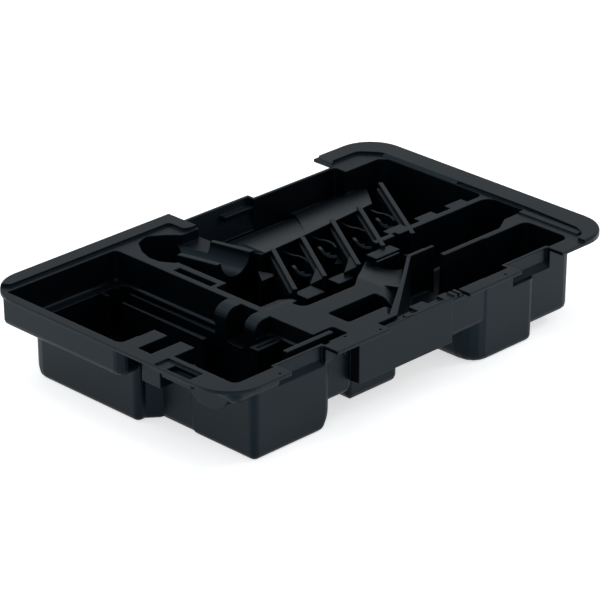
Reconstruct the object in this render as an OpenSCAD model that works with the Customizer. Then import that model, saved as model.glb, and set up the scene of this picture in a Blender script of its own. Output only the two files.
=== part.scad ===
// Moulded plastic insert for a tool case: a flange with a raised lip, drafted pockets for the
// tools and a rack of slanted ribs. X runs left to right, Y front to back, Z up, in millimetres.

/* [Tray] */
// Length over the flange, left edge to right edge
length = 383; // [379:1:387]
// Width over the flange, front tabs to back lip
width = 243.5; // [241.5:0.5:245.5]
// Height of the flange's top face above the base
flange_height = 63; // [61:0.5:66]
// Thickness of the pocket walls and floors
wall = 2.2; // [1.8:0.1:2.4]
// Thickness of the flange plate
flange = 2.4; // [2:0.1:3]
// Radius of the four outer corners, seen from above
corner_radius = 29; // [24:1:32]
// Slope of the pocket walls from the vertical, in degrees
draft = 0.75; // [0.5:0.25:1.5]

/* [Raised lip] */
// Height of the lip above the flange
lip_height = 2; // [1:0.25:3]
// Width of the lip along the right edge
lip_width = 18.5; // [17:0.5:19.5]

/* [Pockets] */
// Depth of the shelf along the left edge of the back left pocket
shelf_depth = 23; // [20:0.5:26]
// Depth of the shallow end of the front left pocket
scoop_shelf_depth = 13; // [11:0.5:15]
// Radius of the round scoop in that shallow end
scoop_radius = 21; // [19:0.5:23]
// Depth of the tool pocket, the teardrop and the rack
tool_depth = 46; // [42:1:50]
// Depth of the long pocket at the right
long_depth = 40; // [36:1:44]

/* [Rack] */
// Lean of the rack's ribs from the front-to-back direction, in degrees
rib_lean = 32; // [30:1:34]
// Thickness of a rack rib
rib_thickness = 3.2; // [2.6:0.2:4]
// Radius of the round seats between the ribs
seat_radius = 8; // [7:0.5:9]
// Radius of the half-round cradle at the back of the tool pocket
cradle_radius = 13.5; // [12:0.5:14]

/* [Front edge] */
// Length of the two latch gaps
latch_gap = 43; // [39:1:45]
// Diameter of the small holes in the front tabs
tab_hole = 2.2; // [1.8:0.2:3]

/* [Hidden] */
left = -length / 2;
right = length / 2;
front = -width / 2;
back = width / 2;
base = -flange_height;
deep = flange_height - wall;
over = 4;
slope = tan(draft);

// Outward normal of the side from corner a to corner b, for an outline drawn anticlockwise
function outward(a, b) = [b[1] - a[1], a[0] - b[0]] / norm([b[0] - a[0], b[1] - a[1]]);

// An outline [[x, y, radius], ...] with side i moved outwards by g[i]
function grown(c, g) = [
    for (i = [0 : len(c) - 1])
        let (
            m = len(c),
            j = (i + m - 1) % m,
            n0 = outward(c[j], c[i]),
            n1 = outward(c[i], c[(i + 1) % m]),
            d = n0 * n1,
            move = (g[j] * (n0 - d * n1) + g[i] * (n1 - d * n0)) / (1 - d * d),
            turn = n0[0] * n1[1] - n0[1] * n1[0],
            r = c[i][2] == 0 ? 0 : max(0.5, c[i][2] + sign(turn) * (g[i] + g[j]) / 2)
        )
        [c[i][0] + move[0], c[i][1] + move[1], r]
];

function same(c, g) = [for (p = c) g];

// The points of an outline, each rounded corner drawn as an arc of n steps
function rounded(c, n) = [
    for (i = [0 : len(c) - 1])
        let (
            m = len(c),
            n0 = outward(c[(i + m - 1) % m], c[i]),
            n1 = outward(c[i], c[(i + 1) % m]),
            turn = atan2(n0[0] * n1[1] - n0[1] * n1[0], n0 * n1),
            a = atan2(n0[1], n0[0]),
            s = sign(turn) * c[i][2],
            mid = [c[i][0], c[i][1]] - s * (n0 + n1) / (1 + n0 * n1)
        )
        for (k = [0 : c[i][2] == 0 ? 0 : n])
            c[i][2] == 0
                ? [c[i][0], c[i][1]]
                : mid + s * [cos(a + turn * k / n), sin(a + turn * k / n)]
];

function box(x0, x1, y0, y1, r) = [
    [x0, y0, r[0]], [x1, y0, r[1]], [x1, y1, r[2]], [x0, y1, r[3]]
];

// How far a bottom edge of radius r has drawn in at height h above the floor
function drawn_in(h, r) = h >= r ? 0 : r - sqrt(max(0, r * r - (r - h) * (r - h)));

function heights(lo, hi) = concat(
    [for (a = [0 : 30 : 90]) lo * (1 - cos(a))],
    hi > lo + 0.5 ? [for (k = [1 : 3]) lo + (hi - lo) * k / 3] : []
);

// A solid drawn through rings of points, each ring at its own height
module loft(rings, z) {
    m = len(rings[0]);
    n = len(rings);
    polyhedron(
        points = [for (i = [0 : n - 1]) for (p = rings[i]) [p[0], p[1], z[i]]],
        faces = concat(
            [[for (k = [0 : m - 1]) k]],
            [[for (k = [0 : m - 1]) n * m - 1 - k]],
            [
                for (i = [0 : n - 2])
                    for (k = [0 : m - 1])
                        [i * m + k, (i + 1) * m + k, (i + 1) * m + (k + 1) % m, i * m + (k + 1) % m]
            ]
        ),
        convexity = 4
    );
}

// A drafted well; edges lists the bottom radius of each side, t grows it into its own shell
module well(c, depth, edges, top, t = 0) {
    h = heights(min(edges) + t, max(edges) + t);
    floor_z = -depth - t;
    top_z = top == undef ? (t > 0 ? 0 : over) : top + t;
    z = concat([for (v = h) floor_z + v], [top_z]);
    rings = [
        for (i = [0 : len(z) - 1])
            rounded(
                grown(c, [
                    for (e = edges)
                        t + z[i] * slope - (i < len(h) ? drawn_in(h[i], e + t) : 0)
                ]),
                4
            )
    ];
    loft(rings, z);
}

module plate(c, z0, z1, n = 6) {
    translate([0, 0, z0])
        linear_extrude(z1 - z0)
            polygon(rounded(c, n));
}

module block(x0, x1, y0, y1, z0, z1) {
    translate([x0, y0, z0])
        cube([x1 - x0, y1 - y0, z1 - z0]);
}

// A prism along X with its outline in [y, z], or along Y with its outline in [x, z]
module along_x(outline, x0, x1) {
    translate([x0, 0, 0])
        rotate([90, 0, 90])
            linear_extrude(x1 - x0)
                polygon(outline);
}

module along_y(outline, y0, y1) {
    translate([0, y1, 0])
        rotate([90, 0, 0])
            linear_extrude(y1 - y0)
                polygon(outline);
}

function arc(x, y, r, a0, a1, n) = [
    for (k = [0 : n])
        [x + r * cos(a0 + (a1 - a0) * k / n), y + r * sin(a0 + (a1 - a0) * k / n)]
];

// An upright web of thickness t between two points of the plan
module web(p, q, t, z0, z1) {
    v = q - p;
    translate([p[0], p[1], z0])
        rotate([0, 0, atan2(v[1], v[0])])
            translate([0, -t / 2, 0])
                cube([norm(v), t, z1 - z0]);
}

// Every well: outline, depth, bottom radius of each side, and its top where that is below the flange
p1_left = left + 7;
p2_left = left + 18.5;
well_left = left + 36.5;
land_left = -84.5;
p_front = front + 14.5;
tool_back = back - 22.5;
pocket_right = right - 21.5;
front_right_back = front + 56;
long_front = front + 60;
divider = front + 106;
fin_start = [-24, front + 10.7];
fin_end = [54, -50.25];

wells = [
    [box(p1_left, land_left, -10.75, back - 18, [5, 0, 4, 0]), shelf_depth, [2, 2, 2, 2]],
    [box(well_left - 15.5, land_left - 2, -11.4, back - 27, [3, 5, 5, 11]), deep, [1, 4, 6, 1]],
    [box(well_left + 0.8, -98, -60, -2, [0, 0, 3, 3]), deep, [4, 4, 4, 2]],
    [[[-167, -9, 0], [-153, -20.5, 0], [-140, -20.5, 0], [-140, -9, 0]], deep, [1, 4, 4, 4], -26],
    [box(-130, land_left, -40, -22.75, [3, 0, 0, 3]), shelf_depth + 1, [3, 3, 3, 3]],
    [box(p2_left, land_left, p_front - 1, -50.25, [5, 0, 0, 0]), scoop_shelf_depth, [2, 2, 2, 2]],
    [box(well_left, land_left - 1.5, p_front, -51.2, [3, 4, 4, 0]), deep, [1, 12, 4, 1]],
    [box(-118, -66, p_front + 1, -91.5, [3, 1, 3, 3]), 41, [1, 6, 3, 3]],
    [box(-80, -73.5, 12, 49.75, [1, 1, 1, 1]), 12, [1, 1, 1, 1]],
    [box(-54, -8, -95, -74.75, [2, 3, 2, 2]), deep - 4, [2, 3, 3, 4]],
    [box(-79, -50, -43, 8.5, [3, 0, 0, 2]), tool_depth - 2, [3, 3, 3, 3]],
    [box(-68.5, -14, 3, 62, [0, 0, 0, 3]), tool_depth, [3, 3, 3, 3]],
    [box(-48, 0, 50, 89.3, [0, 0, 0, 3]), tool_depth, [3, 3, 3, 3]],
    [
        [[-59.5, -57, 7], [-9, -57, 8], [43, -18.25, 0], [43, 26, 0], [-59.5, 26, 0]],
        tool_depth,
        [3, 3, 3, 3, 3]
    ],
    [
        [[43.5, -20, 0], [54, -47.25, 0], [76, -47.25, 0], [76, -7, 0], [32, -7, 0]],
        long_depth,
        [3, 3, 3, 3, 3]
    ],
    [
        [
            [-14, divider + 2.5, 0], [pocket_right, divider + 2.5, 6], [pocket_right, back - 40, 2],
            [pocket_right - 5, back - 34, 2], [-14, back - 34, 0]
        ],
        tool_depth,
        [3, 3, 3, 3, 3]
    ],
    [box(-18, right - 61, 50, tool_back, [0, 0, 3, 3]), tool_depth, [3, 3, 3, 3]],
    [
        [
            [-70.5, 57.75, 0], [-45, 44, 0], [-28, 60, 0], [-33.5, 89, 0], [-42.5, 98, 6],
            [-54, 106, 6], [-65.5, 101, 8], [-73.5, 88.75, 12], [-77.5, 76.75, 12], [-76.5, 66.75, 8]
        ],
        tool_depth - 4,
        [3, 3, 3, 3, 3, 3, 3, 3, 3, 3]
    ],
    [
        [
            [70.5, long_front, 0], [134, long_front, 3], [148, long_front + 8, 3],
            [pocket_right, long_front + 8, 3], [pocket_right, divider - 2.5, 9], [70.5, divider - 2.5, 0]
        ],
        long_depth,
        [3, 3, 3, 3, 3, 3]
    ],
    [
        [
            [fin_start[0], fin_start[1], 0], [72, fin_start[1], 0],
            [72, fin_end[1], 0], [fin_end[0], fin_end[1], 0]
        ],
        32,
        [2, 2, 2, 2]
    ],
    [
        [
            [50, front + 10.2, 14], [113, front + 10.2, 4], [113, front_right_back, 0],
            [54, front_right_back, 8], [50, -76, 8]
        ],
        deep,
        [1, 2, 4, 6, 6]
    ],
    [box(105, right - 35, front + 14, front_right_back - 0.8, [0, 7, 6, 0]), 52, [2, 2, 4, 4]]
];

// Flange plate with its four rounded corners
edge = box(left, right, front, back, [for (k = [0 : 3]) corner_radius]);

module flange_plate() {
    plate(edge, -flange, 0, 10);
}

// Lip along the back and the right, with a rounded outer edge and an open inner step
module lip() {
    intersection() {
        loft(
            [for (g = [0, 0, -0.4, -1.6]) rounded(grown(edge, same(edge, g)), 10)],
            [-flange / 2, lip_height - 1.4, lip_height - 0.5, lip_height]
        );
        union() {
            plate(
                [
                    [left + 14, back - 13, 0], [-28.5, back - 13, 3], [-28.5, 94, 2],
                    [-23.5, 91.75, 3], [-18, 91.75, 0], [-18, back + 1, 0], [left + 5, back + 1, 0]
                ],
                -flange / 2,
                lip_height + 1
            );
            plate(
                [
                    [right - 34, front + 7, 0], [right - 26, front + 8.5, 12],
                    [right - lip_width - 2, front + 20, 12], [right - lip_width, -54, 4],
                    [right - lip_width, 92, 14], [right - 30, back - 15.5, 10],
                    [right - 56, back - 15.5, 2], [right - 60.5, back - 19, 0],
                    [right - 60.5, back - 5, 0], [right - 54, back + 1, 0],
                    [right + 1, back + 1, 0], [right + 1, front - 1, 0], [right - 34, front - 1, 0]
                ],
                -flange / 2,
                lip_height + 1
            );
        }
    }
}

// Smooth rise from the flange to the lip beside the tool pocket, and the bead by the long pocket
module right_details() {
    rise = right - lip_width;
    along_y(
        [
            [pocket_right + 0.4, -1], [rise + 1, -1], [rise + 1, lip_height - 0.1],
            [rise, lip_height - 0.1], [pocket_right + 0.4, 0.2]
        ],
        14,
        89
    );
    block(right - 28, right - 22.5, front + 13, -51.5, -1, 1.1);
    translate([right - 25.25, -51.5, -1])
        cylinder(r = 4, h = 2.1);
}

// Slot between the two tongues at the left, its outer end sloping inwards
module tongue_slot(t) {
    x = left + 10.5;
    z = t > 0 ? 0 : over;
    along_y(
        [
            [x - t, z], [x - t, -4 - 0.4 * t], [x + 7.5 - t, -9.5 - 0.4 * t],
            [x + 8 - t, -shelf_depth - 1.5 - t], [x + 32, -shelf_depth - 1.5 - t], [x + 32, z]
        ],
        -37 - t,
        -24 + t
    );
}

// Round scoop across the shallow end of the front left pocket
module scoop(t) {
    intersection() {
        translate([p2_left + 0.6 - t, -83.25, -1.5])
            rotate([0, 90, 0])
                cylinder(r = scoop_radius + t, h = 21 + t);
        block(p2_left - 3, p2_left + 24, -110, -51.5, -40, t > 0 ? -1 : over);
    }
}

// Upper part of the back wall in the notch, set back and leaning
module notch_bay(t) {
    z = t > 0 ? 0 : over;
    along_x(
        [
            [90, z], [back - 16.25 + t, z], [back - 16.25 + t, -0.5 * t],
            [tool_back + t, -24 - 0.5 * t], [90, -24 - 0.5 * t]
        ],
        -18 - t,
        46.5 + t
    );
}

module notch_cut() {
    block(-18, 46.5 + wall, back - 14, back + 1, -flange - 1, 5);
    block(46.5 + wall, right - 60.5, tool_back + wall + 0.05, back + 1, -flange - 1, 5);
}

// Front edge between the tabs: latch walls and the small ribs of the middle
gap_left = [left + 57, left + 57 + latch_gap];
gap_right = [right - 58 - latch_gap, right - 58];

module front_cuts() {
    for (g = [gap_left, gap_right])
        along_x(
            [
                [front - 1, 3], [front + 15, 3], [front + 15, -10], [front + 12.4, -15],
                [front - 1, -15]
            ],
            g[0],
            g[1]
        );
    block(-41.5, 37.5, front - 1, front + 5.5, -flange - 1, 3);
    for (p = [[-141.5, 4], [-71.5, 13], [-47, 4], [78, 4]])
        translate([p[0], front + p[1], -flange - 12])
            cylinder(d = tab_hole, h = flange + 14);
}

module latch_walls() {
    block(gap_left[0] - 2, gap_left[1] + 2, front + 13.4, front + 17.4, -18, -0.6);
    block(gap_right[0] - 2, 106, front + 8.7, front + 17.4, -18, -0.6);
    block(105, gap_right[1] + 2, front + 12, front + 17.4, -18, -0.6);
}

// Hollow in the flange between the two middle tabs, where the small ribs stand
module middle_cut() {
    block(-41.5, 37.5, front - 1, front + 12, -3, 3);
}

// Small ribs: left, right, how far back from the front edge, and top
mid_ribs = [
    [28, 31, 13, -0.3], [20.5, 28.6, 15.5, -1.4], [33, 35.5, 13, -0.3], [-6, 7, 16.6, -1.2],
    [-19, -12.5, 10, -0.8], [-26, -21, 11, -2.2], [-37, -30, 8.4, -1.6]
];

module front_ribs() {
    block(-65.5, 26, front + 5.5, front + 7.7, -35, -flange / 2);
    block(-41.5, 37.5, front + 5.5, front + 14, -5.4, -3);
    block(-65.5, -63.3, front + 5.5, front + 15, -35, -flange / 2);
    for (r = mid_ribs)
        block(r[0], r[1], front + 5.8, front + r[2], -5, r[3]);
}

// Recess in the left flange, pressed down into a pad
module flange_recess(cut) {
    if (cut) {
        block(left + 1.1, left + 14.5, -83, -49.5, -1.3, 1);
        block(left + 4, left + 12, -82.2, -59, -4.5, 1);
    } else {
        block(left + 0.4, left + 17, -85.5, -47, -1.3 - wall, -1.2);
        block(left + 4 - wall, left + 12 + wall, -82.2 - wall, -59 + wall, -4.5 - wall, -1.1);
    }
}

// Round-over at the free ends of the two short ribs that face the tongues
module stub_cut() {
    along_y(
        concat([[-104, 1], [-90, 1]], arc(-90, -9, 9, 90, 180, 6), [[-99, -13.6], [-104, -13.6]]),
        -52,
        -9
    );
}

module stubs() {
    block(-100.6, land_left - 0.8, -50.7, -40.3, -13, -0.15);
    block(-100.6, land_left - 0.8, -22.4, -11, -13, -0.15);
}

// Rack: slanted ribs with a low ledge on the left side of each, and round seats between them
lean = [sin(rib_lean), cos(rib_lean)];
rib_feet = [[-42, -32], [-12, -31], [18.5, -34], [53.5, -24], [84, -24]];
rib_tails = [70, 68, 80, 72, 94];
seat_starts = [33, 43, 39, 42];
seat_pitch = 26.4;
seat_middle = 16.9;
hood_shift = [-3, 2, 4, -2];

module rack_ribs() {
    for (i = [0 : 4]) {
        p = rib_feet[i];
        q = p + rib_tails[i] * lean;
        web(p, q, rib_thickness, -tool_depth - 1, 0);
        web(
            p + 3 * lean + 1.6 * [-lean[1], lean[0]],
            q - 1.5 * lean + 1.6 * [-lean[1], lean[0]],
            rib_thickness,
            -tool_depth - 1,
            -4
        );
    }
}

module at_rib(i) {
    translate([rib_feet[i][0], rib_feet[i][1], 0])
        rotate([0, 0, -rib_lean])
            children();
}

module seats() {
    for (i = [0 : 3])
        at_rib(i) {
            y = seat_starts[i] + 5;
            difference() {
                union() {
                    block(0, seat_pitch - 2, y + 2, y + 15, -tool_depth - 1, -15);
                    intersection() {
                        translate([seat_middle, y, 0])
                            rotate([45, 0, 0])
                                intersection() {
                                    translate([0, 0, -17])
                                        cylinder(r = seat_radius + wall, h = 19);
                                    block(-15, 1.5, -15, 1, -18, 3);
                                }
                        block(0, seat_middle + 5, y - 20, y + 14, -24, -0.5);
                    }
                }
                translate([seat_middle, y, 0])
                    rotate([45, 0, 0])
                        translate([0, 0, -16])
                            cylinder(r = seat_radius, h = 21);
            }
            hood(i);
        }
}

// Curved wall from the table to the next rib, behind each seat
hood_path = [[7.8, 84], [9.5, 79], [14, 72.3], [18.7, 69], [21.6, 63.4], [22.2, 56.3]];

module hood(i) {
    shift = [0, hood_shift[i]];
    for (k = [0 : len(hood_path) - 2])
        web(hood_path[k] + shift, hood_path[k + 1] + shift, 1.7, -tool_depth - 1, -6);
}

// Buttress at the foot of a rib, sloping away to its left
module buttresses() {
    for (i = [1, 2])
        at_rib(i)
            intersection() {
                plate([[0.6, 0.5, 0], [0.6, 24, 0], [-10.5, 0.5, 0]], -tool_depth - 1, -0.3);
                along_y([[2, -0.4], [-11, -6], [-11, -tool_depth - 2], [2, -tool_depth - 2]], 0, 25);
            }
}

module seat_hollows() {
    for (i = [0 : 3])
        at_rib(i)
            block(
                3.6 + wall,
                seat_pitch - 6 - wall,
                seat_starts[i] + 7 + wall,
                seat_starts[i] + 20 - wall,
                base,
                -15 - wall
            );
}

// Table behind the rack: its top falls towards the back wall, lower on the left of a slanted step
table_left = [[-17, 26, 0], [29, 29, 0], [30.3, 30.2, 0], [87, 100.5, 0], [-17, 100.5, 0]];
table_right = [
    [29, 29, 0], [104.5, 36, 0], [140, 76, 0], [140, 88.5, 0], [130.5, 88.5, 0], [130.5, 100, 0],
    [86, 100, 0]
];

function falling(y0, y1, a0, a1, n) = [
    for (k = [0 : n])
        let (r = (y1 - y0) / (sin(a1) - sin(a0)), a = a0 + (a1 - a0) * k / n)
            [y0 + r * (sin(a) - sin(a0)), r * (cos(a) - cos(a0))]
];

module table(plan, a0, a1, t) {
    shape = falling(24, 101, a0, a1, 8);
    sink = t * 1.15;
    intersection() {
        along_x(
            concat([[24, base - 1]], [for (p = shape) p - [0, sink]], [[101, base - 1]]),
            -20,
            145
        );
        plate(
            grown(plan, same(plan, -t)),
            t > 0 ? base - 1 : -tool_depth - 1,
            1
        );
    }
}

// Half-round cradle for the shank at the back left of the tool pocket
cradle_plan = [[-52.5, 34.5, 0], [-16, 34.5, 0], [-24.5, 67, 0], [-60, 67, 0]];
cradle_tail = [[-46, 66, 0], [-20, 66, 0], [-15, 80, 0], [-15, 100, 0], [-33, 100, 0]];

module cradle() {
    difference() {
        union() {
            plate(cradle_plan, -tool_depth - 1, 0);
            plate(cradle_tail, -tool_depth - 1, -8);
        }
        translate([-34.2, 33, 0])
            rotate([-90, 0, 12.5])
                translate([0, 0, -10])
                    cylinder(r = cradle_radius, h = 90);
    }
}

module cradle_hollow() {
    plate(grown(cradle_plan, same(cradle_plan, -wall - 1)), base - 1, -cradle_radius - wall);
}

// Saddle: right of the land the flange bends down towards the long pocket and along the fin
fin_lean = atan2(fin_end[1] - fin_start[1], fin_end[0] - fin_start[0]);
saddle_plan = [
    [-26, -106, 0], [fin_end[0] - 1, fin_end[1] + 0.6, 0], [44.4, -19, 0], [-8.4, -58.4, 0],
    [-26, -80, 0]
];
saddle_bend = 22;
saddle_slope = 13;

function saddle_curve(x, drop) = concat(
    [for (a = [0 : 3.25 : saddle_slope]) [x + saddle_bend * sin(a), saddle_bend * (cos(a) - 1) - drop]],
    [[62, -(61 - x) * tan(saddle_slope) - drop]]
);

module along_fin(outline) {
    translate([-30, -105.4, 0])
        rotate([0, 0, 46])
            along_x(outline, -4, 52);
}

module saddle_body() {
    intersection() {
        plate(saddle_plan, -30, -1);
        union() {
            along_y(
                concat(saddle_curve(1, 1.3 * wall), [[62, -0.5], [-6, -0.5], [-6, -1.2 * wall]]),
                -110,
                -10
            );
            along_fin([[2, -0.5], [2, -1.3 * wall], [-16, -12.4 - 1.4 * wall], [-16, -0.5]]);
        }
    }
}

module saddle_air() {
    intersection() {
        union() {
            along_y(concat(saddle_curve(1, 0), [[62, 3], [1, 3]]), -110, -10);
            along_fin([[0, 3], [0, 0], [-1.5, -0.5], [-16, -12.4], [-16, 3]]);
        }
        plate(
            [
                [-26, -106, 0], [fin_end[0] - 1, fin_end[1] + 0.6, 0], [52, -12, 0], [40, -14, 0],
                [-10, -55, 0], [-26, -80, 0]
            ],
            -30,
            3
        );
    }
}

// Round notch at the end of the saddle, with a ledge inside
module saddle_notch(t) {
    for (c = [[13, -13.5], [10.2, -long_depth]])
        translate([49, -31, c[1] - t])
            cylinder(r = c[0] + t, h = (t > 0 ? -1 : over) - c[1] + t);
}

// Free-standing strips between the pockets, and the small posts in the tool pocket
module strips() {
    translate([fin_start[0], fin_start[1], 0])
        rotate([0, 0, fin_lean])
            block(2, norm(fin_end - fin_start) + 0.6, 0.3, 2.6, -31, -0.15);
    block(52.5, 78.5, fin_end[1] + 0.3, -47.6, -long_depth - 1, -0.15);
    block(53.5, 72, divider - 2.2, divider + 2.2, -long_depth - 1, -0.15);
    block(74, 150, long_front - 2.9, long_front - 0.9, -38, -0.5);
    for (x = [71.5, 103.5, 135.5])
        block(x, x + 17.5, divider + 1.8, divider + 9, -12, -0.15);
    block(34.5, 57, -36.9, -35.1, -long_depth - 1, -2.6);
    block(-115.5, -72, front + 23.5, front + 27.5, -44, -0.15);
    block(17.5, 45.5, back - 23.05, back - 15.55, -9, -5.5);
    plate([[-36.6, 6, 0], [-24.8, 6, 0], [-22.5, 9, 0], [-26.8, 19.9, 0]], -tool_depth - 1, -8);
    along_x(
        [[-46, -3], [-46, -0.15], [-42, -0.15], [-28.5, -5], [-28.5, -8], [-42, -3.4]],
        -81,
        -54.5
    );
}

// Two tall ridges in the back left pocket, thinner towards the back, each with a short piece behind it
module ridges() {
    for (r = [[-108.3, -12, back - 50.75, back - 35.75], [-95, -12, back - 43.75, back - 30.75]]) {
        plate(
            [
                [r[0] - 1.9, r[1], 0], [r[0] + 1.9, r[1], 0], [r[0] + 0.7, r[2], 0], [r[0] - 0.7, r[2], 0]
            ],
            -deep - 1,
            -shelf_depth + 1
        );
        block(r[0] - 1.3, r[0] + 1.6, r[3], r[3] + 10.5, -deep - 1, -shelf_depth + 1);
    }
}

// Hollow posts: left, right, front, back and top
posts = [
    [-38, -21, -40, -26.5, -6],
    [-2, 13, -35, -24, -8],
    [37, 60.5, -33.5, -23.5, -2],
    [-110.5, -86.5, -65.5, -57.5, -12]
];

module insert_tray() {
    color("#33373c")
        translate([0, 0, flange_height])
            difference() {
                union() {
                    difference() {
                        union() {
                            flange_plate();
                            lip();
                            right_details();
                            flange_recess(false);
                            tongue_slot(wall);
                            scoop(wall);
                            notch_bay(wall);
                            saddle_notch(wall);
                            saddle_body();
                            for (w = wells)
                                well(w[0], w[1], w[2], w[3], wall);
                        }
                        for (w = wells)
                            well(w[0], w[1], w[2], w[3]);
                        tongue_slot(0);
                        scoop(0);
                        notch_bay(0);
                        saddle_notch(0);
                        notch_cut();
                        saddle_air();
                        flange_recess(true);
                        middle_cut();
                    }
                    latch_walls();
                    stubs();
                    front_ribs();
                    rack_ribs();
                    seats();
                    buttresses();
                    table(table_left, 8, 32, 0);
                    table(table_right, 7, 28.4, 0);
                    cradle();
                    strips();
                    ridges();
                    for (p = posts)
                        block(p[0], p[1], p[2], p[3], -deep, p[4]);
                }
                front_cuts();
                stub_cut();
                seat_hollows();
                table(table_left, 8, 32, wall);
                table(table_right, 7, 28.4, wall);
                cradle_hollow();
                block(-108, -89.5, -62.4, -60.8, -15, -11);
                for (p = posts)
                    block(
                        p[0] + wall,
                        p[1] - wall,
                        p[2] + wall,
                        p[3] - wall,
                        base - 1,
                        p[4] - wall
                    );
            }
}

insert_tray();
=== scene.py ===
"""Product shot of the tool case insert: satin black moulded plastic on a white studio floor."""

import math

import bpy
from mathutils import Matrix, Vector

# Linear colours
PLASTIC = (0.0005, 0.0009, 0.0017)
PLASTIC_PALE = (0.0014, 0.0022, 0.0034)
SHEEN_TINT = (0.50, 0.78, 1.0)
WHITE = (1.0, 1.0, 1.0)
DAYLIGHT = (0.90, 0.96, 1.0)

# Plastic: lengths in metres, noise scales per metre
ROUGHNESS = (0.36, 0.42)
SPECULAR_LEVEL = 0.2
PLASTIC_IOR = 1.5
FLOW_SCALE = 22.0
PALE_SHARE = 0.6
GRAIN_SCALE = 1400.0
GRAIN_HEIGHT = 0.00004
GRAIN_STRENGTH = 0.12
EDGE_RADIUS = 0.0011

# Studio
WORLD_LEVEL = 0.64
FLOOR_SIZE = 14.0
FLOOR_PAINT = (0.82, 0.82, 0.82)
FLOOR_GLOW = 0.62
# Softboxes: name, place, point that it faces, size and power in watts
SOFTBOXES = [
    ("overhead", (0.3, 0.5, 1.9), (0.0, 0.0, 0.0), (1.6, 1.2), 14.0),
    ("front_fill", (-1.6, -2.2, 0.9), (0.0, 0.0, 0.03), (1.2, 0.8), 3.0),
    ("right_edge", (1.45, -0.9, 1.35), (0.0, 0.0, 0.05), (0.4, 0.4), 4.0),
    ("left_edge", (-0.9, 1.45, 1.35), (0.0, 0.0, 0.05), (0.4, 0.4), 4.0),
]

# Camera: the photograph's view from the front left corner, in a square picture
CAMERA_AZIMUTH = 45.0
CAMERA_DROP = 25.0
CAMERA_PLACE = (-1.5685, -1.56325, 1.063)
CAMERA_LENS = 208.68
SENSOR_WIDTH = 36.0
CLIP_END = 10.0


class Nodes:
    """Short forms for building a node tree."""

    def __init__(self, tree):
        self.tree = tree
        self.tree.nodes.clear()

    def add(self, kind, values=None, **settings):
        node = self.tree.nodes.new(kind)
        for name, value in settings.items():
            setattr(node, name, value)
        for name, value in (values or {}).items():
            node.inputs[name].default_value = value
        return node

    def link(self, out_node, out_name, in_node, in_name):
        self.tree.links.new(out_node.outputs[out_name], in_node.inputs[in_name])


def rgba(colour):
    return (*colour, 1.0)


def moulded_plastic(name):
    """Satin black plastic: rounded edges, a fine spark-eroded grain and faint flow variation."""
    mat = bpy.data.materials.new(name)
    mat.use_nodes = True
    n = Nodes(mat.node_tree)
    place = n.add("ShaderNodeTexCoord")

    grain = n.add("ShaderNodeTexNoise", {"Scale": GRAIN_SCALE, "Detail": 3.0, "Roughness": 0.6})
    n.link(place, "Object", grain, "Vector")
    flow = n.add("ShaderNodeTexNoise", {"Scale": FLOW_SCALE, "Detail": 2.0, "Roughness": 0.5})
    n.link(place, "Object", flow, "Vector")

    rough = n.add(
        "ShaderNodeMapRange",
        {"From Min": 0.3, "From Max": 0.7, "To Min": ROUGHNESS[0], "To Max": ROUGHNESS[1]},
    )
    n.link(flow, "Fac", rough, "Value")

    pale = n.add(
        "ShaderNodeMapRange",
        {"From Min": 0.35, "From Max": 0.75, "To Min": 0.0, "To Max": PALE_SHARE},
    )
    n.link(flow, "Fac", pale, "Value")
    # A colour mix has its factor at input 0, its colours at inputs 6 and 7, its result at output 2
    tone = n.add(
        "ShaderNodeMix", {6: rgba(PLASTIC), 7: rgba(PLASTIC_PALE)}, data_type="RGBA"
    )
    n.link(pale, "Result", tone, 0)

    edge = n.add("ShaderNodeBevel", {"Radius": EDGE_RADIUS}, samples=6)
    bump = n.add("ShaderNodeBump", {"Strength": GRAIN_STRENGTH, "Distance": GRAIN_HEIGHT})
    n.link(grain, "Fac", bump, "Height")
    n.link(edge, "Normal", bump, "Normal")

    skin = n.add(
        "ShaderNodeBsdfPrincipled",
        {
            "Metallic": 0.0,
            "IOR": PLASTIC_IOR,
            "Specular IOR Level": SPECULAR_LEVEL,
            "Specular Tint": rgba(SHEEN_TINT),
        },
    )
    n.link(tone, 2, skin, "Base Color")
    n.link(rough, "Result", skin, "Roughness")
    n.link(bump, "Normal", skin, "Normal")
    out = n.add("ShaderNodeOutputMaterial")
    n.link(skin, "BSDF", out, "Surface")
    mat.diffuse_color = rgba(PLASTIC)
    return mat


def seen_directly(n):
    """A factor that is 1 for camera, glossy and transmission rays."""
    path = n.add("ShaderNodeLightPath")
    first = n.add("ShaderNodeMath", operation="MAXIMUM")
    second = n.add("ShaderNodeMath", operation="MAXIMUM")
    n.link(path, "Is Camera Ray", first, 0)
    n.link(path, "Is Glossy Ray", first, 1)
    n.link(first, "Value", second, 0)
    n.link(path, "Is Transmission Ray", second, 1)
    return second


def plain_world():
    world = bpy.data.worlds.new("studio")
    bpy.context.scene.world = world
    world.use_nodes = True
    n = Nodes(world.node_tree)
    light = n.add("ShaderNodeBackground", {"Color": rgba(DAYLIGHT), "Strength": WORLD_LEVEL})
    out = n.add("ShaderNodeOutputWorld")
    n.link(light, "Background", out, "Surface")


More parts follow.
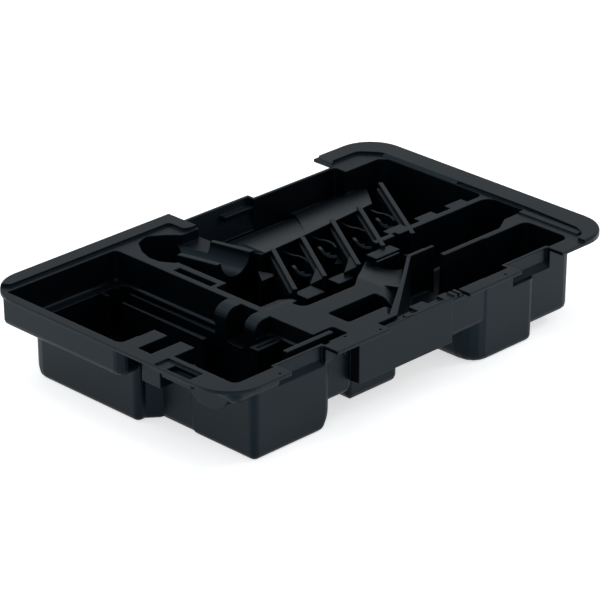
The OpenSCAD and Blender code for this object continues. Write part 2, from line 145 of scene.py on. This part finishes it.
def studio_floor():
    """White floor: plain paint that keeps the shadow, with a glow for rays that see it directly."""
    bpy.ops.mesh.primitive_plane_add(size=FLOOR_SIZE, location=(0.0, 0.0, 0.0))
    floor = bpy.context.object
    floor.name = "studio_floor"
    mat = bpy.data.materials.new("floor_white")
    mat.use_nodes = True
    n = Nodes(mat.node_tree)
    paint = n.add("ShaderNodeBsdfDiffuse", {"Color": rgba(FLOOR_PAINT)})
    glow = n.add("ShaderNodeEmission", {"Color": rgba(WHITE), "Strength": FLOOR_GLOW})
    both = n.add("ShaderNodeAddShader")
    n.link(paint, "BSDF", both, 0)
    n.link(glow, "Emission", both, 1)
    mix = n.add("ShaderNodeMixShader")
    n.link(seen_directly(n), "Value", mix, 0)
    n.link(paint, "BSDF", mix, 1)
    n.link(both, "Shader", mix, 2)
    out = n.add("ShaderNodeOutputMaterial")
    n.link(mix, "Shader", out, "Surface")
    floor.data.materials.append(mat)


def softbox(name, place, aim, size, power):
    data = bpy.data.lights.new(name, "AREA")
    data.shape = "RECTANGLE"
    data.size, data.size_y = size
    data.energy = power
    lamp = bpy.data.objects.new(name, data)
    lamp.location = place
    lamp.rotation_euler = (Vector(aim) - Vector(place)).to_track_quat("-Z", "Y").to_euler()
    bpy.context.scene.collection.objects.link(lamp)


def camera():
    data = bpy.data.cameras.new("camera")
    data.sensor_width = SENSOR_WIDTH
    data.lens = CAMERA_LENS
    data.clip_end = CLIP_END
    data.dof.use_dof = False
    cam = bpy.data.objects.new("camera", data)
    a, e = math.radians(CAMERA_AZIMUTH), math.radians(CAMERA_DROP)
    ahead = Vector((math.sin(a) * math.cos(e), math.cos(a) * math.cos(e), -math.sin(e)))
    cam.location = CAMERA_PLACE
    cam.rotation_euler = ahead.to_track_quat("-Z", "Y").to_euler()
    bpy.context.scene.collection.objects.link(cam)
    bpy.context.scene.camera = cam


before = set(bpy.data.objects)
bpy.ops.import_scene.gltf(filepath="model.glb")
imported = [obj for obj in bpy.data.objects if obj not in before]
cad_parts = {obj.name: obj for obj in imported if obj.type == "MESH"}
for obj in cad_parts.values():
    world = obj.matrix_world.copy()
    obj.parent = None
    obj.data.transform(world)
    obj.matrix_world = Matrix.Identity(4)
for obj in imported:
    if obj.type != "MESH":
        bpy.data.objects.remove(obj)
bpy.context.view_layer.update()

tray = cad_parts["insert_tray"]
tray.data.materials.clear()
tray.data.materials.append(moulded_plastic("black_plastic"))

plain_world()
studio_floor()
for box in SOFTBOXES:
    softbox(*box)
camera()
bpy.context.scene.view_settings.view_transform = "Standard"
